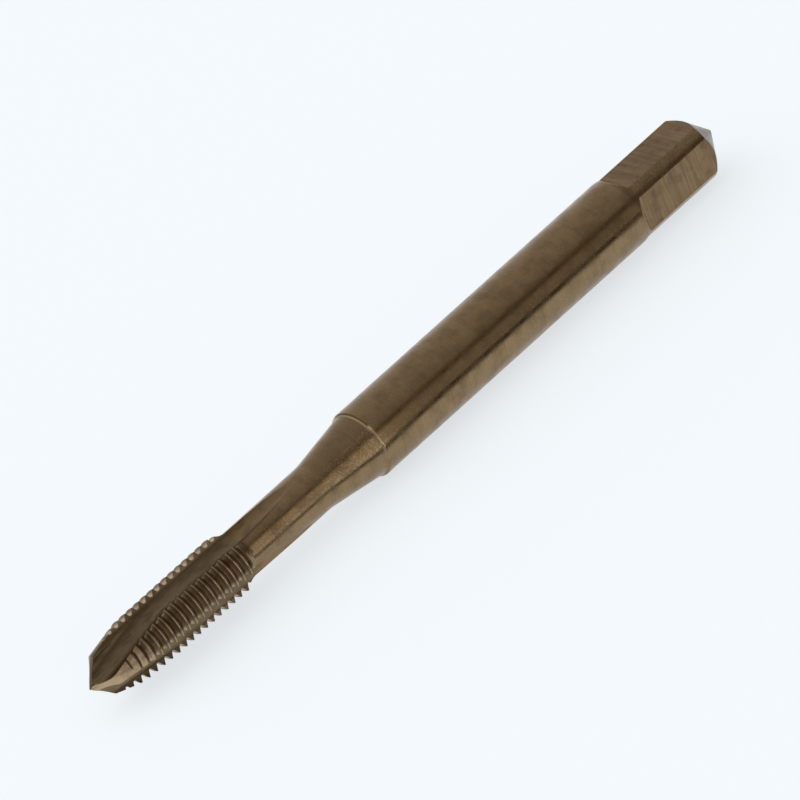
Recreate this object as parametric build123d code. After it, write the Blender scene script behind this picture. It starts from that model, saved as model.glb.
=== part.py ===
from build123d import *
import os
from math import acos, ceil, cos, degrees, radians, sin, tan

# A machine tap for M5 x 0.8 through holes, ground from one bar of high-speed steel: a male centre
# on the nose, a chamfered lead, a threaded part with three straight flutes and a spiral point, a
# thin neck, a thicker plain shank and a square drive with a male centre on its end.
#
# Units are millimetres. The tap lies on its shank: its axis runs along X, the nose towards -X and
# the square towards +X, with the origin on the surface below the middle of its length. Two flats
# of the square are level. Angles round the axis are counted from +Y towards +Z.

# ---- driving sizes -----------------------------------------------------------------------------

# Nose and thread
nose_cone_angle = 86.0
nose_diameter = 3.7
lead_angle = 10.5
lead_relief = 0.3  # how far each land's lead cone lies off the axis, towards the flute before it
thread_diameter = 5.15
thread_pitch = 0.8
thread_angle = 60.0
full_thread_length = 10.5
first_groove = 0.53  # from the nose's point to the groove behind the first flute
thread_end_angle = 38.0

# Flutes, ground by a wheel with a round rim
flute_count = 3
flute_clocking = 95.6
flute_core_diameter = 2.6
flute_rim_radius = 1.325
flute_wheel_radius = 36.0

# Spiral point: a second cut in each flute, skewed and dipped towards the nose
gash_length = 8.6
gash_rim_radius = 1.29
gash_skew_angle = 5.1
gash_dip_angle = 7.5
gash_core_diameter = 0.8
gash_nose_turn = 27.5

# Neck and shoulder
neck_diameter = 4.1
neck_length = 9.25
neck_cone_angle = 8.0
neck_blend_radius = 6.0
shoulder_diameter = 5.6
shoulder_chamfer = 0.2

# Shank
shank_diameter = 6.0
shank_length = 30.8

# Square drive
square_across_flats = 4.85
square_corner_diameter = 5.8
square_length = 8.0
square_run_out_angle = 40.0
square_taper_length = 0.6  # between the shank and the square's corners
tail_cone_angle = 96.0
tail_tip_diameter = 0.3

# ---- worked out --------------------------------------------------------------------------------

# Each ring of the outline as a distance from the nose's point and a radius
nose_radius = nose_diameter / 2
thread_radius = thread_diameter / 2
neck_radius = neck_diameter / 2
shoulder_radius = shoulder_diameter / 2
shank_radius = shank_diameter / 2
corner_radius = square_corner_diameter / 2
tail_tip_radius = tail_tip_diameter / 2
nose_slope = tan(radians(nose_cone_angle / 2))
lead_slope = tan(radians(lead_angle))
nose_base = nose_radius / nose_slope
lead_end = nose_base + (thread_radius - nose_radius) / lead_slope
thread_end = lead_end + full_thread_length
neck_start = thread_end + (thread_radius - neck_radius) / tan(radians(thread_end_angle))
neck_end = neck_start + neck_length
shoulder_front = neck_end + (shoulder_radius - neck_radius) / tan(radians(neck_cone_angle))
shank_start = shoulder_front + shoulder_chamfer
shank_end = shank_start + shank_length
square_start = shank_end + square_taper_length
tail_base = square_start + square_length
overall_length = tail_base + (corner_radius - tail_tip_radius) / tan(radians(tail_cone_angle / 2))

# A symmetrical V groove that leaves flats of an eighth of the pitch on its crests
crest_width = thread_pitch / 8
thread_depth = 0.6134 * thread_pitch
thread_root_radius = thread_radius - thread_depth
flank_slope = tan(radians(thread_angle / 2))
groove_outer_radius = thread_radius + crest_width / 4
groove_outer_width = thread_pitch - crest_width / 2
groove_root_width = groove_outer_width - 2 * (groove_outer_radius - thread_root_radius) * flank_slope

clearance = 1.0  # how far the cutters stand outside the steel
nose_clearance = 0.3  # and in front of the nose, where the three gashes nearly meet


def outline():
    """The turned blank: everything but the lead, the thread, the flutes and the flats."""
    nose = Polyline(
        (0, 0),
        (thread_radius / nose_slope, thread_radius),
        (thread_end, thread_radius),
        (neck_start, neck_radius),
    )
    neck = FilletPolyline(
        (neck_start, neck_radius),
        (neck_end, neck_radius),
        (shoulder_front, shoulder_radius),
        radius=neck_blend_radius,
    )
    shank = Polyline(
        (shoulder_front, shoulder_radius),
        (shank_start, shank_radius),
        (shank_end, shank_radius),
        (square_start, corner_radius),
        (tail_base, corner_radius),
        (overall_length, tail_tip_radius),
        (overall_length, 0),
        (0, 0),
    )
    return make_face(Curve() + [nose, neck, shank])


def lead_cutter():
    """What the lead leaves off the land behind the flute along +Y, relieved behind its edge."""
    front = nose_base / 2
    back = lead_end + lead_relief / lead_slope
    front_radius = nose_radius + (front - nose_base) * lead_slope
    side = make_face(
        Polyline(
            (front, front_radius),
            (back, thread_radius + lead_relief),
            (back, shank_diameter),
            (front, shank_diameter),
            (front, front_radius),
        )
    )
    return Pos(0, lead_relief, 0) * revolve(side, Axis.X, 360 / flute_count)


def groove_piece():
    """The V groove where it crosses one land, ending in the empty flutes on both sides."""
    span = 0.9 * 360 / flute_count
    rise = thread_pitch * span / 360

    along_axis = Plane(origin=(0, 0, 0), x_dir=(0, 1, 0), z_dir=(1, 0, 0)).location

    def corner(radius, offset):
        helix = along_axis * Edge.make_helix(thread_pitch, rise, radius, (0, 0, offset - rise / 2))
        return helix.rotate(Axis.X, -span / 2)

    front_root = corner(thread_root_radius, -groove_root_width / 2)
    back_root = corner(thread_root_radius, groove_root_width / 2)
    front_crest = corner(groove_outer_radius, -groove_outer_width / 2)
    back_crest = corner(groove_outer_radius, groove_outer_width / 2)
    strips = [
        Face.make_surface_from_curves(front_root, back_root),
        Face.make_surface_from_curves(back_root, back_crest),
        Face.make_surface_from_curves(back_crest, front_crest),
        Face.make_surface_from_curves(front_crest, front_root),
    ]
    caps = []
    for end in (0, 1):
        corners = [edge @ end for edge in (front_root, back_root, back_crest, front_crest)]
        caps.append(Face(Wire.make_polygon(corners)))
    return Solid(Shell(strips + caps))


def thread_grooves():
    """The right-hand thread: the groove climbs by a share of the pitch from land to land."""
    piece = groove_piece()
    turn = 360 / flute_count
    step = thread_pitch / flute_count
    first_land = flute_clocking + turn / 2
    count = ceil((neck_start + thread_pitch - first_groove) / step)
    return [
        Pos(first_groove + k * step, 0, 0) * piece.rotate(Axis.X, first_land + k * turn)
        for k in range(count)
    ]


def flute_cutter():
    """One straight flute along +Y, run out at its back end along the rim of the grinding wheel."""
    core_radius = flute_core_diameter / 2
    centre = core_radius + flute_rim_radius
    length = thread_end + clearance
    section = Plane((thread_end, centre, 0), z_dir=(1, 0, 0)) * Circle(flute_rim_radius)
    lift = shank_radius + clearance - core_radius
    run_out_angle = degrees(acos(1 - lift / flute_wheel_radius))
    wheel_axis = Axis((thread_end, core_radius + flute_wheel_radius, 0), (0, 0, 1))
    return extrude(section, -length) + revolve(section, wheel_axis, run_out_angle)


def gash_cutter():
    """The spiral point's cut in the flute along +Y: it skews towards the land on the +Z side."""
    reach = gash_core_diameter / 2 + gash_rim_radius
    nose_turn = radians(gash_nose_turn)
    at_nose = Vector(0, reach * cos(nose_turn), reach * sin(nose_turn))
    along = Vector(1, tan(radians(gash_dip_angle)), -tan(radians(gash_skew_angle)))
    back_end = at_nose + along * gash_length
    front_end = at_nose - along * nose_clearance
    section = Plane(back_end, z_dir=front_end - back_end) * Circle(gash_rim_radius)
    return extrude(section, (front_end - back_end).length)


def flat_cutter():
    """The steel above one flat of the square, with the slope that the cutter leaves at its start."""
    flat = square_across_flats / 2
    top = shank_radius + clearance
    slope = (top - flat) / tan(radians(square_run_out_angle))
    back = overall_length + clearance
    side = make_face(
        Polyline(
            (square_start, flat),
            (back, flat),
            (back, top),
            (square_start - slope, top),
            (square_start, flat),
        )
    )
    return extrude(side, shank_radius + clearance, both=True)


def around(cutter, count, first_angle):
    """Copies of a cutter spaced evenly round the axis."""
    return [cutter.rotate(Axis.X, first_angle + k * 360 / count) for k in range(count)]


blank = revolve(outline(), Axis.X).rotate(Axis.X, flute_clocking)
tap = blank - around(lead_cutter(), flute_count, flute_clocking)
tap -= around(flute_cutter(), flute_count, flute_clocking)
tap -= around(gash_cutter(), flute_count, flute_clocking)
tap -= around(flat_cutter(), 4, 0)
tap -= thread_grooves()
tap = Pos(-overall_length / 2, 0, shank_radius) * tap

os.makedirs("parts", exist_ok=True)
export_step(tap, "parts/tap.step")
print(f"tap: {len(tap.solids())} solid, {len(tap.faces())} faces, {overall_length:.2f} mm long")
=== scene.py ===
from functools import cached_property
from math import cos, pi, radians, sin, tan

import bmesh
import bpy
from mathutils import Matrix, Vector


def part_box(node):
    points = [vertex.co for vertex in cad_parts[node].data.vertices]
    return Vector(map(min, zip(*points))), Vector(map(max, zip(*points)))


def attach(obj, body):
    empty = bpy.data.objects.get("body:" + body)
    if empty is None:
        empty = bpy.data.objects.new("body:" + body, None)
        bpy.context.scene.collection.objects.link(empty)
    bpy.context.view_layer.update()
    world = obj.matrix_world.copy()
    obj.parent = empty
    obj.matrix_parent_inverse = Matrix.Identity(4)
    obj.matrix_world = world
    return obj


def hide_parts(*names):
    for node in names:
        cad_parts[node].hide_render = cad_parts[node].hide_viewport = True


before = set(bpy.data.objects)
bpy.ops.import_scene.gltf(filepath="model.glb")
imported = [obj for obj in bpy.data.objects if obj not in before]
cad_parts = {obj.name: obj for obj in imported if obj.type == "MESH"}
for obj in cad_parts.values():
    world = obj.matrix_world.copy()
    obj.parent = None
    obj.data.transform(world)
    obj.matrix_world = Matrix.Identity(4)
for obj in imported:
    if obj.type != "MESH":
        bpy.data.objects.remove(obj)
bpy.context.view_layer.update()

bl_info = {
    "name": "Thread Tap",
    "version": (1, 0, 0),
    "blender": (4, 5, 0),
    "location": "View3D > Sidebar > Thread Tap",
    "description": "Grinds a spiral-point machine tap out of a turned blank on a pale studio floor",
    "category": "Object",
}

CAD_NODE = "tap"
BODY = "root"
MM = 0.001  # the tap is cut in millimetres and scaled to metres at the end
ALONG = Vector((1, 0, 0))  # the tap's axis, from the nose to the square

TURNED_STEPS = 240  # round the blank
CUTTER_STEPS = 120  # round a cutter
THREAD_STEPS = 96  # in each turn of the thread
BEVEL_STEPS = 6  # across each rounded edge
CLEARANCE = 1.0  # mm, how far a cutter stands outside the steel
WELD = 1e-5  # mm
SHARP_ANGLE = radians(24)  # edges that turn by more than this stay sharp
THREAD_DEPTH = 0.6134  # of the pitch
TURNS_BEFORE = 0.5  # turns of the thread cutter in front of the first groove
RUN_OUT_TURN = pi / 6  # of the grinding wheel, past its way out of the steel

# Painted light and shade by height round the tap's axis: 1 is on top, 0 level with the axis
HIGHLIGHT_SIDE = (0.2, 0.74)  # painted highlight between these
NOSE_AND_LEAD_SHADE = (0.7, 0.8)  # painted shade on the nose and the lead sets in between these
THREAD_TOP_SHADE = (0.86, 0.94)  # and painted shade on the thread's top between these
SCRATCH_RINGS = (19.7, 20.5, 21.3)  # mm from the nose's point, on the neck
SCRATCH_WIDTH = 0.04  # mm

DARK_PATCHES = (0.4, 0.75)  # noise levels between which a dark patch sets in
ROUGH_PATCHES = (0.3, 0.7)  # and between which the roughness changes
GRAIN_WIDTH = 0.2  # mm, on the thread and the lead
GRAINY = (0.04, 0.2)  # how much rougher they are, from the smoothest to the roughest patch

IMAGE_SIZE = 800  # pixels
SENSOR = 36.0  # mm
FAR_CLIP = 50.0  # m
FLOOR_REACH = 3.0  # m to each side
FLAG_COLOUR = (0.09, 0.055, 0.02)
FLAG_REACH = 200.0  # mm to each side
FLAG_STEP = 4.0  # mm, half the length over which the flag changes its height
CARD_COLOUR = (1.0, 0.93, 0.82)

# Light of the studio by angle round the tap's axis: 0 is +Y, 90 straight up, 180 is -Y
SKY_ROUND = (
    (0, (0.9, 0.93, 1.0)),
    (14, (0.8, 0.8, 0.82)),
    (30, (0.72, 0.71, 0.7)),
    (60, (0.62, 0.61, 0.6)),
    (95, (0.55, 0.54, 0.52)),
    (120, (0.45, 0.44, 0.42)),
    (134, (0.38, 0.36, 0.33)),
    (139, (0.08, 0.05, 0.02)),
    (147, (0.08, 0.05, 0.02)),
    (152, (0.42, 0.4, 0.37)),
    (168, (0.42, 0.39, 0.35)),
    (180, (0.28, 0.24, 0.18)),
)
# and its brightness by direction along it: -1 is off the nose and 1 is off the square
SKY_ALONG = (
    (-1.0, 0.8),
    (-0.93, 0.8),
    (-0.84, 1.7),
    (-0.5, 1.35),
    (-0.1, 1.0),
    (0.23, 0.68),
    (0.49, 0.9),
    (0.83, 0.45),
    (1.0, 0.45),
)


# ---- sizes and colours that a user would change ------------------------------------------------


def size(name, description, default):
    """A length in millimetres."""
    return bpy.props.FloatProperty(name=name, description=description, default=default, min=0.0)


def offset(name, description, default):
    """A distance in millimetres to either side."""
    return bpy.props.FloatProperty(name=name, description=description, default=default)


def angle(name, description, default):
    """An angle, given in degrees and kept in radians."""
    return bpy.props.FloatProperty(
        name=name, description=description, default=radians(default), subtype="ANGLE"
    )


def colour(name, description, default):
    """A linear colour."""
    return bpy.props.FloatVectorProperty(
        name=name,
        description=description,
        default=default,
        size=3,
        min=0.0,
        max=1.0,
        subtype="COLOR",
    )


def share(name, description, default):
    """A number without a unit."""
    return bpy.props.FloatProperty(
        name=name, description=description, default=default, min=0.0, max=1.0, subtype="FACTOR"
    )


class TapSizes(bpy.types.PropertyGroup):
    """The tap's sizes in millimetres, as in the solid."""

    nose_cone: angle("Nose cone", "Included angle of the male centre on the nose", 86.0)
    nose_diameter: size("Nose diameter", "Where the lead starts on the nose cone", 3.7)
    lead_angle: angle("Lead angle", "Slope of the chamfered lead", 10.5)
    lead_relief: size("Lead relief", "How far each land's lead cone lies off the axis", 0.3)
    thread_diameter: size("Thread diameter", "Over the crests of the full thread", 5.15)
    pitch: size("Pitch", "From one crest to the next", 0.8)
    thread_angle: angle("Thread angle", "Between the flanks", 60.0)
    full_thread: size("Full thread", "Length of the thread behind the lead", 10.5)
    thread_end: angle("Thread end", "Slope from the crests down to the neck", 38.0)
    first_groove: size("First groove", "From the nose's point to the first groove", 0.53)
    flutes: bpy.props.IntProperty(
        name="Flutes", description="Number of flutes", default=3, min=2, max=6
    )
    flute_clocking: angle("Flute clocking", "Angle of the first flute from +Y towards +Z", 95.6)
    flute_core: size("Flute core", "Diameter of the core between the flutes", 2.6)
    flute_rim: size("Flute rim", "Radius of the grinding wheel's rim", 1.325)
    flute_wheel: size("Flute wheel", "Radius of the grinding wheel", 36.0)
    gash_length: size("Gash length", "Length of the spiral point's cut", 8.6)
    gash_rim: size("Gash rim", "Radius of the spiral point's cutter", 1.29)
    gash_skew: angle("Gash skew", "Skew of the spiral point in its flute", 5.1)
    gash_dip: angle("Gash dip", "Dip of the spiral point towards the nose", 7.5)
    gash_core: size("Gash core", "Diameter of the core at the nose", 0.8)
    gash_turn: angle("Gash turn", "Turn of the spiral point's cut at the nose", 27.5)
    neck_diameter: size("Neck diameter", "Diameter of the neck", 4.1)
    neck_length: size("Neck length", "From the thread to the cone", 9.25)
    neck_cone: angle("Neck cone", "Slope of the cone behind the neck", 8.0)
    neck_blend: size("Neck blend", "Radius between the neck and the cone", 6.0)
    shoulder_diameter: size("Shoulder diameter", "Where the cone meets the shank's chamfer", 5.6)
    shoulder_chamfer: size("Shoulder chamfer", "Length of the chamfer at the shank's front", 0.2)
    shank_diameter: size("Shank diameter", "Diameter of the plain shank", 6.0)
    shank_length: size("Shank length", "Length of the plain shank", 30.8)
    square_flats: size("Across flats", "Width of the square", 4.85)
    square_corners: size("Across corners", "Diameter over the square's rounded corners", 5.8)
    square_length: size("Square length", "Length of the full square", 8.0)
    square_run_out: angle("Run-out", "Slope at the start of each flat", 40.0)
    square_taper: size("Corner taper", "Length between the shank and the square's corners", 0.6)
    tail_cone: angle("Tail cone", "Included angle of the male centre on the square's end", 96.0)
    tail_tip: size("Tail tip", "Diameter of the blunt end of the tail cone", 0.3)
    edge_round: size("Edge rounding", "Radius of the turned edges", 0.06)


class TapFinish(bpy.types.PropertyGroup):
    """Colours and finish of the steel."""

    tint: colour("Tint", "Bronze tint of the ground steel", (0.28, 0.19, 0.1))
    flat_tint: colour("Flat tint", "Tint of the square's flats", (0.25, 0.165, 0.088))
    flute_tint: colour("Flute tint", "Tint in the flutes", (0.2, 0.145, 0.085))
    groove_tint: colour("Groove tint", "Tint of the thread's flanks", (0.5, 0.37, 0.25))
    # Also the colour of the painted highlights.
    bare_and_highlight_tint: colour("Bare tint", "Brighter steel where the tint is worn", (0.5, 0.37, 0.23))
    tail_tint: colour("Tail tint", "Tint of the square's end", (0.12, 0.068, 0.048))
    # Also the colour of the painted shade.
    dark_and_shade_tint: colour("Dark tint", "Dull brown where the tint is thickest", (0.1, 0.066, 0.036))
    roughness: share("Roughness", "Roughness of the ground steel", 0.26)
    flute_roughness: share("Flute roughness", "Roughness of the flutes", 0.32)
    flat_roughness: share("Flat roughness", "Roughness of the square's flats", 0.36)
    grind_pitch: size("Grinding pitch", "Width of one grinding line", 0.09)
    mottle_size: size("Mottle size", "Width of the tint's patches", 1.1)
    mottle: share("Mottle", "How much the tint varies from patch to patch", 0.3)


class StageSetup(bpy.types.PropertyGroup):
    """Camera, floor and light."""

    tilt: angle("Tilt", "How far the tap's axis leans out of the picture", 29.3)
    roll: angle("Roll", "Angle of the tap's axis in the picture", 42.004)
    turn: angle("Turn", "Camera's place round the tap's axis, over the level", 37.2)
    distance: bpy.props.FloatProperty(
        name="Distance", description="From the camera to the tap", default=1.41, unit="LENGTH"
    )
    pixels_per_mm: size("Pixels per millimetre", "Scale of the picture at the tap", 12.98)
    shift_along: offset("Shift along", "The tap's middle along its axis in the picture", -0.18)
    shift_beside: offset("Shift beside", "The tap's middle beside its axis in the picture", -0.58)
    floor: colour("Floor", "Colour of the floor and backdrop", (0.887, 0.939, 0.982))
    floor_light: share("Floor light", "Share of its colour that is its own light", 0.705)
    floor_shade: share("Floor shade", "Share of its colour that takes light and shadow", 0.6)
    flag_distance: size("Flag distance", "From the tap's axis to the dark card beside it", 13.0)
    flag_height: size("Flag height", "Height of the dark card", 3.5)
    front_flag_distance: size("Front flag distance", "The same beside the neck and the nose", 9.5)
    front_flag_height: size("Front flag height", "The same beside the neck and the nose", 1.8)
    card_light: share("Card light", "Brightness of the card in front of the cone", 0.55)
    card_turn: angle("Card turn", "Where the card stands round the tap, from +Y towards +Z", 162.0)
    card_along: offset("Card along", "The card's middle along the tap's axis", 9.5)
    card_distance: size("Card distance", "From the tap's axis to the card", 56.0)
    card_length: size("Card length", "Along the tap", 19.0)
    card_height: size("Card height", "Across the tap", 36.0)


# ---- mesh helpers ------------------------------------------------------------------------------


def finish_mesh(bm, name, material):
    """A bmesh made into an object in the scene, closed and with its faces outwards."""
    bmesh.ops.remove_doubles(bm, verts=bm.verts, dist=WELD)
    bmesh.ops.recalc_face_normals(bm, faces=bm.faces)
    mesh = bpy.data.meshes.new(name)
    bm.to_mesh(mesh)
    bm.free()
    mesh.materials.append(material)
    made = bpy.data.objects.new(name, mesh)
    bpy.context.scene.collection.objects.link(made)
    return made


def polygon(bm, points):
    """One face on the given points."""
    return bm.faces.new([bm.verts.new(point) for point in points])


def spin_solid(bm, face, centre, axis, turn, steps, climb=0.0):
    """The solid that a face sweeps round an axis, climbing along it by so much in each step."""
    bmesh.ops.spin(
        bm,
        geom=[face, *face.edges, *face.verts],
        cent=centre,
        axis=axis,
        dvec=Vector(axis) * climb,
        angle=turn,
        steps=steps,
        use_merge=abs(turn - 2 * pi) < 1e-6 and not climb,
    )


def extrude_solid(bm, face, along):
    """The solid that a face sweeps in a straight line."""
    made = bmesh.ops.extrude_face_region(bm, geom=[face])
    moved = [item for item in made["geom"] if isinstance(item, bmesh.types.BMVert)]
    bmesh.ops.translate(bm, verts=moved, vec=along)


def cut(tap, cutter):
    """Takes a cutter out of the tap. The new faces keep the cutter's material."""
    step = tap.modifiers.new("cut", "BOOLEAN")
    step.operation = "DIFFERENCE"
    step.solver = "EXACT"
    step.material_mode = "TRANSFER"
    step.object = cutter
    with bpy.context.temp_override(object=tap, active_object=tap):
        bpy.ops.object.modifier_apply(modifier=step.name)
    mesh = cutter.data
    bpy.data.objects.remove(cutter)
    bpy.data.meshes.remove(mesh)


# ---- the tap -----------------------------------------------------------------------------------
# Here s is the tap's sizes, and at is where its forms start along the axis.


class Stations:
    """Where each turned form starts, in millimetres from the nose's point."""

    def __init__(self, s):
        self.nose_slope = tan(s.nose_cone / 2)
        self.lead_slope = tan(s.lead_angle)
        self.nose_base = s.nose_diameter / 2 / self.nose_slope
        lead_rise = (s.thread_diameter - s.nose_diameter) / 2
        thread_drop = (s.thread_diameter - s.neck_diameter) / 2
        cone_rise = (s.shoulder_diameter - s.neck_diameter) / 2
        self.thread_radius = s.thread_diameter / 2
        self.lead_end = self.nose_base + lead_rise / self.lead_slope
        self.thread_end = self.lead_end + s.full_thread
        self.neck_start = self.thread_end + thread_drop / tan(s.thread_end)
        self.neck_end = self.neck_start + s.neck_length
        self.shoulder = self.neck_end + cone_rise / tan(s.neck_cone)
        self.shank_start = self.shoulder + s.shoulder_chamfer
        self.shank_end = self.shank_start + s.shank_length
        self.square_start = self.shank_end + s.square_taper
        self.tail_base = self.square_start + s.square_length
        self.length = self.tail_base + (s.square_corners - s.tail_tip) / 2 / tan(s.tail_cone / 2)


def turned_blank(s, at, material):
    """The bar after turning, with its axis along X and the nose's point at the origin."""
    outline = [
        (0.0, 0.0),
        (at.thread_radius / at.nose_slope, at.thread_radius),
        (at.thread_end, at.thread_radius),
        (at.neck_start, s.neck_diameter / 2),
        (at.neck_end, s.neck_diameter / 2),
        (at.shoulder, s.shoulder_diameter / 2),
        (at.shank_start, s.shank_diameter / 2),
        (at.shank_end, s.shank_diameter / 2),
        (at.square_start, s.square_corners / 2),
        (at.tail_base, s.square_corners / 2),
        (at.length, s.tail_tip / 2),
        (at.length, 0.0),
    ]
    blends = {
        at.neck_end: s.neck_blend * tan(s.neck_cone / 2),
        at.neck_start: s.neck_blend * tan(s.thread_end / 2) / 4,
        at.shoulder: s.edge_round,
        at.shank_start: s.edge_round,
        at.tail_base: s.edge_round,
        at.shank_end: s.square_taper / 4,
    }
    bm = bmesh.new()
    points = [bm.verts.new((x, radius, 0.0)) for x, radius in outline]
    wire = [bm.edges.new(pair) for pair in zip(points, points[1:])]
    bmesh.ops.spin(
        bm,
        geom=points + wire,
        cent=(0, 0, 0),
        axis=(1, 0, 0),
        angle=2 * pi,
        steps=TURNED_STEPS,
        use_merge=True,
    )
    bmesh.ops.remove_doubles(bm, verts=bm.verts, dist=WELD)
    for station, width in blends.items():
        ring = [
            edge
            for edge in bm.edges
            if all(abs(vert.co.x - station) < WELD for vert in edge.verts)
            and edge.verts[0].co.yz.length > s.tail_tip
        ]
        bmesh.ops.bevel(
            bm,
            geom=ring,
            offset=width,
            offset_type="OFFSET",
            segments=BEVEL_STEPS,
            profile=0.5,
            affect="EDGES",
            material=-1,
            clamp_overlap=True,
        )
    return finish_mesh(bm, "tap_steel", material)


def lead_cutter(s, at, material):
    """What the lead leaves off the land behind the flute along +Y, relieved behind its edge."""
    front = at.nose_base / 2
    back = at.lead_end + s.lead_relief / at.lead_slope
    outside = s.shank_diameter

    def cone(x):
        return s.nose_diameter / 2 + (x - at.nose_base) * at.lead_slope

    bm = bmesh.new()
    corners = [(front, cone(front)), (back, cone(back)), (back, outside), (front, outside)]
    face = polygon(bm, [(x, s.lead_relief + radius, 0.0) for x, radius in corners])
    spin_solid(bm, face, (0, s.lead_relief, 0), (1, 0, 0), 2 * pi / s.flutes, CUTTER_STEPS)
    return finish_mesh(bm, "lead_cutter", material)


def round_face(bm, centre, direction, radius):
    """A round face, facing along a direction."""
    turn = Vector(direction).to_track_quat("Z", "Y").to_matrix().to_4x4()
    made = bmesh.ops.create_circle(
        bm,
        cap_ends=True,
        segments=CUTTER_STEPS,
        radius=radius,
        matrix=Matrix.Translation(centre) @ turn,
    )
    return made["verts"][0].link_faces[0]


def flute_cutter(s, at, material):
    """One straight flute along +Y."""
    bm = bmesh.new()
    centre = (at.thread_end, s.flute_core / 2 + s.flute_rim, 0)
    face = round_face(bm, centre, (1, 0, 0), s.flute_rim)
    extrude_solid(bm, face, (-at.thread_end - CLEARANCE, 0, 0))
    return finish_mesh(bm, "flute_cutter", material)


def run_out_cutter(s, at, material):
    """The rim of the grinding wheel where it leaves the flute along +Y."""
    bm = bmesh.new()
    centre = (at.thread_end, s.flute_core / 2 + s.flute_rim, 0)
    face = round_face(bm, centre, (1, 0, 0), s.flute_rim)
    wheel_centre = (at.thread_end, s.flute_core / 2 + s.flute_wheel, 0)
    spin_solid(bm, face, wheel_centre, (0, 0, 1), RUN_OUT_TURN, CUTTER_STEPS)
    return finish_mesh(bm, "run_out_cutter", material)


def gash_cutter(s, at, material):
    """The spiral point's cut in the flute along +Y: it skews towards the land on the +Z side."""
    reach = s.gash_core / 2 + s.gash_rim
    at_nose = Vector((0, reach * cos(s.gash_turn), reach * sin(s.gash_turn)))
    along = Vector((1, tan(s.gash_dip), -tan(s.gash_skew)))
    back_end = at_nose + along * s.gash_length
    front_end = at_nose - along * CLEARANCE / 3
    bm = bmesh.new()
    face = round_face(bm, back_end, along, s.gash_rim)
    extrude_solid(bm, face, front_end - back_end)
    return finish_mesh(bm, "gash_cutter", material)


def flat_cutter(s, at, material):
    """The steel beside one flat of the square, with the slope at its start."""
    flat = s.square_flats / 2
    top = s.shank_diameter / 2 + CLEARANCE
    slope = (top - flat) / tan(s.square_run_out)
    back = at.length + CLEARANCE
    bm = bmesh.new()
    corners = [(at.square_start, flat), (back, flat), (back, top), (at.square_start - slope, top)]
    face = polygon(bm, [(x, y, -top) for x, y in corners])
    extrude_solid(bm, face, (0, 0, 2 * top))
    return finish_mesh(bm, "flat_cutter", material)


def groove_cutter(s, at, material):
    """The V groove of the right-hand thread, from the nose to the neck."""
    crest = s.pitch / 8
    outer = at.thread_radius + crest / 4
    root = at.thread_radius - THREAD_DEPTH * s.pitch
    outer_width = s.pitch - crest / 2
    root_width = outer_width - 2 * (outer - root) * tan(s.thread_angle / 2)
    first_land = s.flute_clocking + pi / s.flutes
    turns = (at.neck_start + s.pitch - s.first_groove) / s.pitch + TURNS_BEFORE
    steps = round(turns * THREAD_STEPS)
    start = s.first_groove - TURNS_BEFORE * s.pitch
    bm = bmesh.new()
    corners = [(-root_width, root), (root_width, root), (outer_width, outer), (-outer_width, outer)]
    face = polygon(bm, [(start + width / 2, radius, 0.0) for width, radius in corners])
    sweep = 2 * pi * steps / THREAD_STEPS
    spin_solid(bm, face, (0, 0, 0), (1, 0, 0), sweep, steps, s.pitch / THREAD_STEPS)
    back_turn = Matrix.Rotation(first_land - 2 * pi * TURNS_BEFORE, 3, "X")
    bmesh.ops.rotate(bm, verts=bm.verts, cent=(0, 0, 0), matrix=back_turn)
    return finish_mesh(bm, "groove_cutter", material)


def turn_about_axis(cutter, by):
    """Turns a cutter round the tap's axis."""
    cutter.data.transform(Matrix.Rotation(by, 4, "X"))
    return cutter


def grind_tap(s, materials):
    """The whole tap, in millimetres, with its nose's point at the origin."""
    at = Stations(s)
    tap = turned_blank(s, at, materials["turned"])
    for k in range(s.flutes):
        turn = s.flute_clocking + k * 2 * pi / s.flutes
        cut(tap, turn_about_axis(lead_cutter(s, at, materials["lead"]), turn))
        cut(tap, turn_about_axis(flute_cutter(s, at, materials["flute"]), turn))
        cut(tap, turn_about_axis(run_out_cutter(s, at, materials["flute"]), turn))
        cut(tap, turn_about_axis(gash_cutter(s, at, materials["flute"]), turn))
    for k in range(4):
        cut(tap, turn_about_axis(flat_cutter(s, at, materials["flat"]), k * pi / 2))
    cut(tap, groove_cutter(s, at, materials["groove"]))
    return tap


def axis_place():
    """Where the solid's nose starts along X and how high its axis lies, in metres."""
    low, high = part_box(CAD_NODE)
    return low.x, (low.z + high.z) / 2


def place_in_frame(tap):
    """Scales the tap to metres and lays it where the solid lies, with its place in its mesh."""
    nose_x, axis_height = axis_place()
    tap.data.transform(Matrix.Translation((nose_x, 0, axis_height)) @ Matrix.Scale(MM, 4))


# ---- materials ---------------------------------------------------------------------------------
# Here p is the paint, f the finish, s the sizes, and at is where the tap's forms start.


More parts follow.
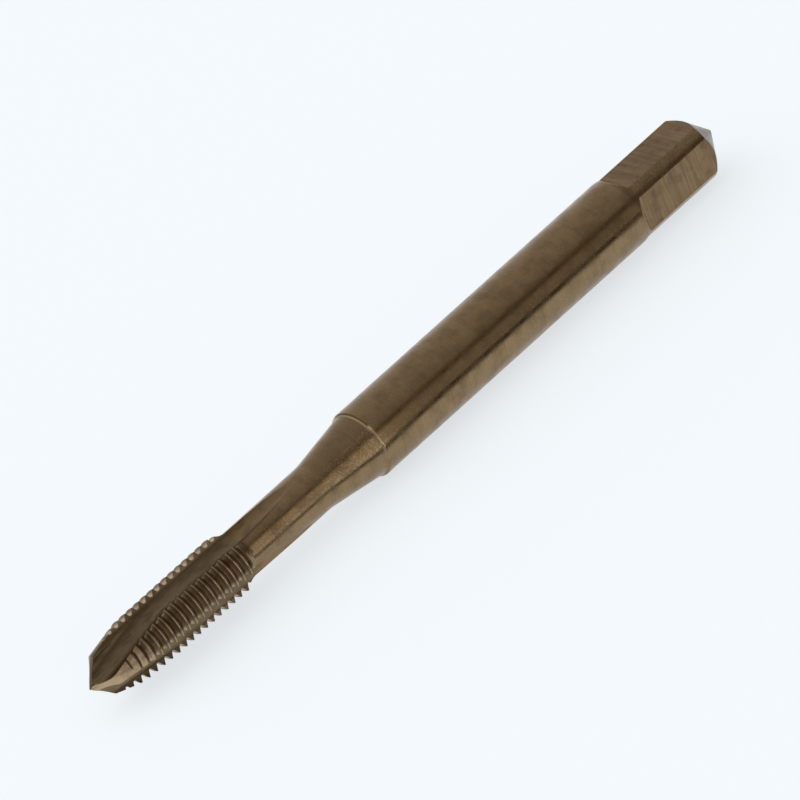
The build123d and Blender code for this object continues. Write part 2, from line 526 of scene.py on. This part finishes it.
class Paint:
    """A steel material with its node tree, and short ways to add nodes to it."""

    def __init__(self, name, roughness):
        self.material = bpy.data.materials.new(name)
        self.material.use_nodes = True
        self.tree = self.material.node_tree
        self.shader = self.tree.nodes["Principled BSDF"]
        self.shader.inputs["Metallic"].default_value = 1.0
        self.shader.inputs["Roughness"].default_value = roughness
        self.roughness = roughness
        self.place = self.node("ShaderNodeTexCoord").outputs["Object"]
        self.nose_x, self.axis_height = axis_place()

    def node(self, kind, **settings):
        made = self.tree.nodes.new(kind)
        for name, value in settings.items():
            setattr(made, name, value)
        return made

    def link(self, source, target):
        self.tree.links.new(source, target)

    def math(self, operation, first, second):
        """A value worked out from two others, each a socket or a number."""
        made = self.node("ShaderNodeMath", operation=operation)
        for value, socket in zip((first, second), made.inputs):
            if isinstance(value, float):
                socket.default_value = value
            else:
                self.link(value, socket)
        return made.outputs[0]

    def times(self, first, *others):
        """Values multiplied together."""
        for other in others:
            first = self.math("MULTIPLY", first, other)
        return first

    def noise(self, widths, detail=2.0, distortion=0.0):
        """Soft noise whose patches have these widths along X, Y and Z, in millimetres."""
        stretch = self.node("ShaderNodeMapping")
        stretch.inputs["Scale"].default_value = [1 / (width * MM) for width in widths]
        self.link(self.place, stretch.inputs["Vector"])
        made = self.node("ShaderNodeTexNoise")
        made.inputs["Scale"].default_value = 1.0
        made.inputs["Detail"].default_value = detail
        made.inputs["Distortion"].default_value = distortion
        self.link(stretch.outputs["Vector"], made.inputs["Vector"])
        return made.outputs["Fac"]

    def span(self, value, low, high, out_low=0.0, out_high=1.0):
        """A value's range between two levels, stretched to another range."""
        made = self.node("ShaderNodeMapRange", interpolation_type="SMOOTHSTEP")
        levels = {"From Min": low, "From Max": high, "To Min": out_low, "To Max": out_high}
        for name, level in levels.items():
            made.inputs[name].default_value = level
        self.link(value, made.inputs["Value"])
        return made.outputs["Result"]

    def inside(self, value, low, high, soft):
        """1 where a value lies between two levels, fading to 0 over a soft edge."""
        rise = self.span(value, low - soft, low)
        fall = self.span(value, high, high + soft, 1.0, 0.0)
        return self.times(rise, fall)

    def before(self, station):
        """1 in front of a station along the tap, else 0."""
        return self.span(self.x, station, station + 0.1, 1.0, 0.0)

    def behind(self, station, soft):
        """1 behind a station along the tap, from 0 over a soft edge."""
        return self.span(self.x, station, station + soft)

    def blend(self, amount, first, second):
        """Two colours blended, each a socket or a colour."""
        made = self.node("ShaderNodeMix", data_type="RGBA")
        self.link(amount, made.inputs["Factor"])
        for value, name in ((first, "A"), (second, "B")):
            if isinstance(value, bpy.types.NodeSocket):
                self.link(value, made.inputs[name])
            else:
                made.inputs[name].default_value = (*value, 1)
        return made.outputs["Result"]

    def rub(self, colour, tint, *amounts):
        """A colour with a tint over it, where the amounts multiplied together say so."""
        return self.blend(self.times(*amounts), colour, tint)

    def along(self, axis, start):
        """Distance along X, Y or Z from a start in metres, in millimetres."""
        parts = self.node("ShaderNodeSeparateXYZ")
        self.link(self.place, parts.inputs[0])
        return self.times(self.math("SUBTRACT", parts.outputs[axis], start), 1 / MM)

    @cached_property
    def x(self):
        """Distance behind the nose's point, in millimetres."""
        return self.along("X", self.nose_x)

    @cached_property
    def height(self):
        """Height over the tap's axis, in millimetres."""
        return self.along("Z", self.axis_height)

    @cached_property
    def radius(self):
        """Distance from the tap's axis, in millimetres."""
        beside = self.along("Y", 0.0)
        squares = [self.times(value, value) for value in (beside, self.height)]
        return self.math("POWER", self.math("ADD", *squares), 0.5)

    @cached_property
    def lean(self):
        """1 on top of the tap, 0 at the height of its axis and -1 below."""
        return self.math("DIVIDE", self.height, self.radius)

    @cached_property
    def side(self):
        """1 on the sides above the axis, where a painted highlight band lies, else 0."""
        return self.inside(self.lean, *HIGHLIGHT_SIDE, soft=0.08)

    def coat(self, colour, uneven, rougher, relief, depth):
        """The material, its roughness between two steps and its relief in millimetres."""
        self.link(colour, self.shader.inputs["Base Color"])
        levels = [self.roughness + step for step in rougher]
        self.link(self.span(uneven, *ROUGH_PATCHES, *levels), self.shader.inputs["Roughness"])
        bump = self.node("ShaderNodeBump")
        bump.inputs["Distance"].default_value = depth * MM
        self.link(relief, bump.inputs["Height"])
        self.link(bump.outputs["Normal"], self.shader.inputs["Normal"])
        return self.material


def neck_highlight_and_scratches(p, f, at, grain, colour):
    """The neck and the cone with a painted highlight band at their sides, and scratch rings shown
    only inside it.
    """
    sparkle_highlight = p.times(p.side, p.span(grain, 0.45, 0.7))
    cone = p.inside(p.x, at.neck_end + 0.6, at.shoulder, soft=1.5)
    neck = p.inside(p.x, at.neck_start, at.neck_end, soft=0.3)
    colour = p.rub(colour, f.bare_and_highlight_tint, cone, sparkle_highlight, 0.7)
    colour = p.rub(colour, f.bare_and_highlight_tint, neck, sparkle_highlight, 0.3)
    # Real scratch rings, drawn only where the painted highlight band lies.
    for station in SCRATCH_RINGS:
        ring = p.inside(p.x, station - SCRATCH_WIDTH / 2, station + SCRATCH_WIDTH / 2, soft=0.03)
        colour = p.rub(colour, f.bare_and_highlight_tint, ring, sparkle_highlight)
    return colour


def shoulder_shade_and_highlight(p, f, at, grain, colour):
    """The chamfer in front of the shank, with painted shade on top and a painted highlight at its
    sides.
    """
    edge = p.inside(p.x, at.shank_start - 0.08, at.shank_start, soft=0.03)
    # Painted shade on top of the chamfer, then a painted highlight at its sides.
    colour = p.rub(colour, f.dark_and_shade_tint, edge, p.span(p.lean, HIGHLIGHT_SIDE[1], 0.8))
    return p.rub(colour, f.bare_and_highlight_tint, edge, p.side)


def crest_highlight(p, f, at, grain, colour):
    """The thread's crests, with a painted highlight in spots, left out on top."""
    outside = p.span(p.radius, at.thread_radius - 0.04, at.thread_radius - 0.03)
    # The painted highlight on the crests stops on the thread's top.
    below_top = p.span(p.lean, *THREAD_TOP_SHADE, 1.0, 0.0)
    spots = p.span(grain, 0.3, 0.6, 0.5, 1.0)
    return p.rub(colour, f.bare_and_highlight_tint, outside, p.before(at.thread_end), below_top, spots)


def nose_shade_and_highlight(p, f, at, grain, colour):
    """The nose, with painted shade on top and a painted highlight below."""
    nose = p.before(at.nose_base + 0.1)
    colour = p.rub(colour, f.dark_and_shade_tint, nose, p.span(p.lean, *NOSE_AND_LEAD_SHADE))
    return p.rub(colour, f.bare_and_highlight_tint, nose, p.span(p.lean, 0.55, 0.7, 0.8, 0.0))


def square_wear(p, f, at, grain, colour):
    """The square's corners with worn spots, and the darker cone at its end."""
    spots = p.span(grain, 0.4, 0.7)
    colour = p.rub(colour, f.bare_and_highlight_tint, p.behind(at.square_start, soft=0.3), spots, 0.4)
    return p.rub(colour, f.tail_tint, p.behind(at.tail_base, soft=0.1))


def turned_steel(f, at):
    """Round ground steel: fine rings and patches of tint, with each form's painted light and shade,
    and its wear and scratches, over them.
    """
    p = Paint("turned_steel", f.roughness)
    lines = p.noise((f.grind_pitch, 9.0, 9.0))
    rings = p.noise((0.9, 14.0, 14.0))
    patches = p.noise((f.mottle_size,) * 3, detail=4.0)
    grain = p.noise((0.12,) * 3, detail=3.0)
    colour = p.blend(p.span(patches, *DARK_PATCHES, 0.0, f.mottle), f.tint, f.dark_and_shade_tint)
    colour = p.rub(colour, f.dark_and_shade_tint, p.span(rings, 0.35, 0.7, 0.0, 0.15))
    colour = p.rub(colour, f.bare_and_highlight_tint, p.span(lines, 0.45, 0.8, 0.0, 0.14))
    colour = p.rub(colour, f.bare_and_highlight_tint, p.span(grain, 0.5, 0.75, 0.0, 0.25))
    for wear_and_light in (neck_highlight_and_scratches, shoulder_shade_and_highlight, crest_highlight, nose_shade_and_highlight, square_wear):
        colour = wear_and_light(p, f, at, grain, colour)
    return p.coat(colour, patches, (-0.04, 0.06), relief=lines, depth=0.0006)


def flute_steel(f, at):
    """Flutes ground lengthwise: dull olive brown with long fine streaks, brighter in the neck."""
    p = Paint("flute_steel", f.flute_roughness)
    streaks = p.noise((7.0, 0.16, 0.16))
    patches = p.noise((1.3, 0.6, 0.6), detail=4.0, distortion=0.4)
    tint = p.blend(p.span(p.x, at.thread_end, at.neck_start + 2), f.flute_tint, f.tint)
    colour = p.rub(tint, f.dark_and_shade_tint, p.span(patches, *DARK_PATCHES, 0.0, 0.5))
    colour = p.rub(colour, f.bare_and_highlight_tint, p.span(streaks, 0.5, 0.8, 0.0, 0.2))
    return p.coat(colour, patches, (-0.05, 0.07), relief=streaks, depth=0.0008)


def flat_steel(f, at):
    """Flats ground crosswise: bands and lines across the square, and a painted highlight at their
    start.
    """
    p = Paint("flat_steel", f.flat_roughness)
    lines = p.noise((0.2, 3.0, 3.0), detail=3.0, distortion=0.5)
    bands = p.noise((0.8, 20.0, 20.0), detail=3.0)
    patches = p.noise((0.7,) * 3, detail=4.0)
    # Painted highlight along the start of each flat, where the run-out turns.
    start = p.span(p.x, at.square_start - 0.35, at.square_start + 0.1, 0.9, 0.0)
    colour = p.blend(p.span(bands, 0.35, 0.65, 0.0, 0.35), f.flat_tint, f.dark_and_shade_tint)
    colour = p.rub(colour, f.bare_and_highlight_tint, p.span(lines, 0.45, 0.75, 0.0, 0.25))
    colour = p.rub(colour, f.dark_and_shade_tint, p.span(patches, 0.5, 0.8, 0.0, 0.4))
    colour = p.rub(colour, f.bare_and_highlight_tint, start)
    return p.coat(colour, patches, (-0.06, 0.08), relief=lines, depth=0.002)


def thread_steel(f, s, at):
    """The thread's grooves: grainy tint, with painted shade at the roots, near the crests and on
    top.
    """
    p = Paint("groove_steel", f.roughness)
    grain = p.noise((GRAIN_WIDTH,) * 3, detail=4.0)
    patches = p.noise((0.9,) * 3, detail=3.0)
    root = at.thread_radius - THREAD_DEPTH * s.pitch
    root_shade = p.span(p.radius, root + 0.02, root + 0.1, 0.9, 0.0)
    flank_shade_near_crest = p.span(p.radius, at.thread_radius - 0.33, at.thread_radius - 0.12, 0.0, 0.72)
    colour = p.blend(p.span(patches, *DARK_PATCHES, 0.0, 0.5), f.groove_tint, f.dark_and_shade_tint)
    colour = p.rub(colour, f.bare_and_highlight_tint, p.span(grain, 0.55, 0.8, 0.0, 0.5))
    colour = p.rub(colour, f.dark_and_shade_tint, root_shade)
    colour = p.rub(colour, f.dark_and_shade_tint, flank_shade_near_crest)
    # Painted shade on the thread's top.
    colour = p.rub(colour, f.dark_and_shade_tint, p.span(p.lean, *THREAD_TOP_SHADE, 0.0, 0.5))
    return p.coat(colour, grain, GRAINY, relief=grain, depth=0.003)


def lead_steel(f):
    """The lead: grainy tint over a painted highlight low down and painted shade on top."""
    p = Paint("lead_steel", f.roughness)
    grain = p.noise((GRAIN_WIDTH,) * 3, detail=4.0)
    # Painted highlight below, painted shade on top.
    colour = p.blend(p.span(p.lean, *NOSE_AND_LEAD_SHADE), f.bare_and_highlight_tint, f.dark_and_shade_tint)
    colour = p.rub(colour, f.tint, p.span(grain, 0.4, 0.7, 0.2, 0.6))
    return p.coat(colour, grain, GRAINY, relief=grain, depth=0.002)


def tap_materials(f, s, at):
    """A finish for each way in which the tap is ground."""
    return {
        "turned": turned_steel(f, at),
        "lead": lead_steel(f),
        "flute": flute_steel(f, at),
        "flat": flat_steel(f, at),
        "groove": thread_steel(f, s, at),
    }


# ---- stage -------------------------------------------------------------------------------------


def camera_axes(stage):
    """Right, up and back of the camera, worked out from the tap's place in the picture."""
    across = cos(stage.tilt)
    back = Vector((-sin(stage.tilt), -across * cos(stage.turn), across * sin(stage.turn)))
    along = (ALONG - ALONG.dot(back) * back).normalized()
    beside = back.cross(along)
    right = cos(stage.roll) * along - sin(stage.roll) * beside
    up = sin(stage.roll) * along + cos(stage.roll) * beside
    return right, up, back


def set_camera(stage, centre):
    """The camera, far off with a long lens, with the tap running up to the right."""
    right, up, back = camera_axes(stage)
    beside = back.cross(ALONG).normalized()
    look = centre - (ALONG * stage.shift_along + beside * stage.shift_beside) * MM
    lens = bpy.data.cameras.new("camera")
    lens.sensor_width = SENSOR
    lens.lens = stage.pixels_per_mm / MM * stage.distance * SENSOR / IMAGE_SIZE
    lens.clip_end = FAR_CLIP
    camera = bpy.data.objects.new("camera", lens)
    bpy.context.scene.collection.objects.link(camera)
    place = Matrix((right, up, back)).transposed().to_4x4()
    place.translation = look + back * stage.distance
    camera.matrix_world = place
    bpy.context.scene.camera = camera


def matte(name, tint):
    """A dull material of one colour, and its shader."""
    material = bpy.data.materials.new(name)
    material.use_nodes = True
    paint = material.node_tree.nodes["Principled BSDF"]
    paint.inputs["Base Color"].default_value = (*tint, 1)
    paint.inputs["Roughness"].default_value = 0.9
    paint.inputs["Specular IOR Level"].default_value = 0.0
    return material, paint


def seen_directly(tree):
    """1 for rays from the camera and for those that steel or glass sends on, else 0."""
    path = tree.nodes.new("ShaderNodeLightPath")
    total = path.outputs["Is Camera Ray"]
    for ray in ("Is Glossy Ray", "Is Transmission Ray"):
        add = tree.nodes.new("ShaderNodeMath")
        add.use_clamp = True
        tree.links.new(total, add.inputs[0])
        tree.links.new(path.outputs[ray], add.inputs[1])
        total = add.outputs[0]
    return total


def lay_floor(stage):
    """A pale floor that takes the tap's shadow and shows its colour whatever the light."""
    material, paint = matte("floor", Vector(stage.floor) * stage.floor_shade)
    paint.inputs["Emission Color"].default_value = (*stage.floor, 1)
    tree = material.node_tree
    strength = tree.nodes.new("ShaderNodeMath")
    strength.operation = "MULTIPLY"
    strength.inputs[1].default_value = stage.floor_light
    tree.links.new(seen_directly(tree), strength.inputs[0])
    tree.links.new(strength.outputs[0], paint.inputs["Emission Strength"])
    bm = bmesh.new()
    bmesh.ops.create_grid(bm, x_segments=1, y_segments=1, size=FLOOR_REACH)
    finish_mesh(bm, "floor", material)


def mirrored_only(card):
    """Hides a card from everything but the reflections in the steel."""
    card.visible_camera = False
    card.visible_shadow = False
    card.visible_diffuse = False


def dark_flag(stage):
    """A dark card low beside the tap, nearer and lower beside its thin front part."""
    material, _ = matte("flag", FLAG_COLOUR)
    bm = bmesh.new()
    front = (stage.front_flag_distance, stage.front_flag_height)
    back = (stage.flag_distance, stage.flag_height)
    columns = [(-FLAG_REACH, *front), (-FLAG_STEP, *front), (FLAG_STEP, *back), (FLAG_REACH, *back)]
    for first, second in zip(columns, columns[1:]):
        corners = [(x, -away, z) for x, away, top in (first, second) for z in (0.0, top)]
        polygon(bm, [Vector(corners[k]) * MM for k in (0, 2, 3, 1)])
    mirrored_only(finish_mesh(bm, "flag", material))


def bright_card(stage):
    """A soft card in front of the neck and the cone, which adds to the light behind it."""
    material = bpy.data.materials.new("card")
    material.use_nodes = True
    nodes, links = material.node_tree.nodes, material.node_tree.links
    glow = nodes.new("ShaderNodeEmission")
    glow.inputs["Color"].default_value = (*CARD_COLOUR, 1)
    glow.inputs["Strength"].default_value = stage.card_light
    clear = nodes.new("ShaderNodeBsdfTransparent")
    both = nodes.new("ShaderNodeAddShader")
    links.new(glow.outputs[0], both.inputs[0])
    links.new(clear.outputs[0], both.inputs[1])
    links.new(both.outputs[0], nodes["Material Output"].inputs["Surface"])
    _, axis_height = axis_place()
    out = Vector((0, cos(stage.card_turn), sin(stage.card_turn)))
    centre = Vector((stage.card_along * MM, 0, axis_height)) + out * stage.card_distance * MM
    wide = ALONG * stage.card_length / 2 * MM
    high = out.cross(ALONG) * stage.card_height / 2 * MM
    bm = bmesh.new()
    polygon(bm, [centre + wide * x + high * y for x, y in ((-1, -1), (1, -1), (1, 1), (-1, 1))])
    mirrored_only(finish_mesh(bm, "card", material))


def colour_ramp(tree, value, low, high, stops):
    """Colours for a value between two ends, with soft stops, each a place and a colour."""
    way = tree.nodes.new("ShaderNodeMapRange")
    way.inputs["From Min"].default_value = low
    way.inputs["From Max"].default_value = high
    tree.links.new(value, way.inputs["Value"])
    made = tree.nodes.new("ShaderNodeValToRGB")
    ramp = made.color_ramp
    ramp.interpolation = "EASE"
    for _ in range(len(stops) - 2):
        ramp.elements.new(0.5)
    for element, (place, tint) in zip(ramp.elements, stops):
        element.position = (place - low) / (high - low)
        element.color = (*tint, 1)
    tree.links.new(way.outputs["Result"], made.inputs[0])
    return made.outputs["Color"]


def studio_light(stage):
    """A world of soft strips that run along the tap, told apart by their angle round its axis."""
    world = bpy.data.worlds.new("studio")
    world.use_nodes = True
    tree = world.node_tree
    nodes, links = tree.nodes, tree.links
    direction = nodes.new("ShaderNodeTexCoord")
    parts = nodes.new("ShaderNodeSeparateXYZ")
    links.new(direction.outputs["Generated"], parts.inputs[0])
    turn = nodes.new("ShaderNodeMath")
    turn.operation = "ARCTAN2"
    links.new(parts.outputs["Z"], turn.inputs[0])
    links.new(parts.outputs["Y"], turn.inputs[1])
    round_stops = [(radians(place), tint) for place, tint in SKY_ROUND]
    strips = colour_ramp(tree, turn.outputs[0], 0.0, pi, round_stops)
    along_stops = [(place, (level,) * 3) for place, level in SKY_ALONG]
    fade = colour_ramp(tree, parts.outputs["X"], -1.0, 1.0, along_stops)
    strip_light = nodes.new("ShaderNodeMix")
    strip_light.data_type = "RGBA"
    strip_light.blend_type = "MULTIPLY"
    strip_light.inputs["Factor"].default_value = 1.0
    links.new(strips, strip_light.inputs["A"])
    links.new(fade, strip_light.inputs["B"])
    path = nodes.new("ShaderNodeLightPath")
    seen = nodes.new("ShaderNodeMix")
    seen.data_type = "RGBA"
    seen.inputs["B"].default_value = (*stage.floor, 1)
    links.new(path.outputs["Is Camera Ray"], seen.inputs["Factor"])
    links.new(strip_light.outputs["Result"], seen.inputs["A"])
    links.new(seen.outputs["Result"], nodes["Background"].inputs["Color"])
    return world


# ---- operators ---------------------------------------------------------------------------------


class TAP_OT_build_tap(bpy.types.Operator):
    """Turn and grind the tap and give its faces their finish"""

    bl_idname = "thread_tap.build_tap"
    bl_label = "Build tap"

    def execute(self, context):
        sizes = context.scene.tap_sizes
        materials = tap_materials(context.scene.tap_finish, sizes, Stations(sizes))
        tap = grind_tap(sizes, materials)
        place_in_frame(tap)
        tap.data.shade_smooth()
        tap.data.set_sharp_from_angle(angle=SHARP_ANGLE)
        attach(tap, BODY)
        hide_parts(CAD_NODE)
        return {"FINISHED"}


class TAP_OT_build_stage(bpy.types.Operator):
    """Set the floor, the light and the camera"""

    bl_idname = "thread_tap.build_stage"
    bl_label = "Build stage"

    def execute(self, context):
        stage = context.scene.tap_stage
        low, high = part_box(CAD_NODE)
        set_camera(stage, (low + high) / 2)
        lay_floor(stage)
        dark_flag(stage)
        bright_card(stage)
        context.scene.world = studio_light(stage)
        context.scene.view_settings.view_transform = "Standard"
        return {"FINISHED"}


class TAP_PT_panel(bpy.types.Panel):
    """Buttons and sizes in the sidebar"""

    bl_label = "Thread Tap"
    bl_idname = "TAP_PT_panel"
    bl_space_type = "VIEW_3D"
    bl_region_type = "UI"
    bl_category = "Thread Tap"

    def draw(self, context):
        layout = self.layout
        layout.operator(TAP_OT_build_tap.bl_idname)
        layout.operator(TAP_OT_build_stage.bl_idname)
        for group in (context.scene.tap_sizes, context.scene.tap_finish, context.scene.tap_stage):
            box = layout.box()
            for name in group.bl_rna.properties.keys()[2:]:  # after rna_type and name
                box.prop(group, name)


CLASSES = (TapSizes, TapFinish, StageSetup, TAP_OT_build_tap, TAP_OT_build_stage, TAP_PT_panel)


def register():
    for cls in CLASSES:
        bpy.utils.register_class(cls)
    bpy.types.Scene.tap_sizes = bpy.props.PointerProperty(type=TapSizes)
    bpy.types.Scene.tap_finish = bpy.props.PointerProperty(type=TapFinish)
    bpy.types.Scene.tap_stage = bpy.props.PointerProperty(type=StageSetup)


def unregister():
    del bpy.types.Scene.tap_stage
    del bpy.types.Scene.tap_finish
    del bpy.types.Scene.tap_sizes
    for cls in reversed(CLASSES):
        bpy.utils.unregister_class(cls)


def main():
    register()
    bpy.ops.thread_tap.build_stage()
    bpy.ops.thread_tap.build_tap()


if __name__ == "__main__":
    main()
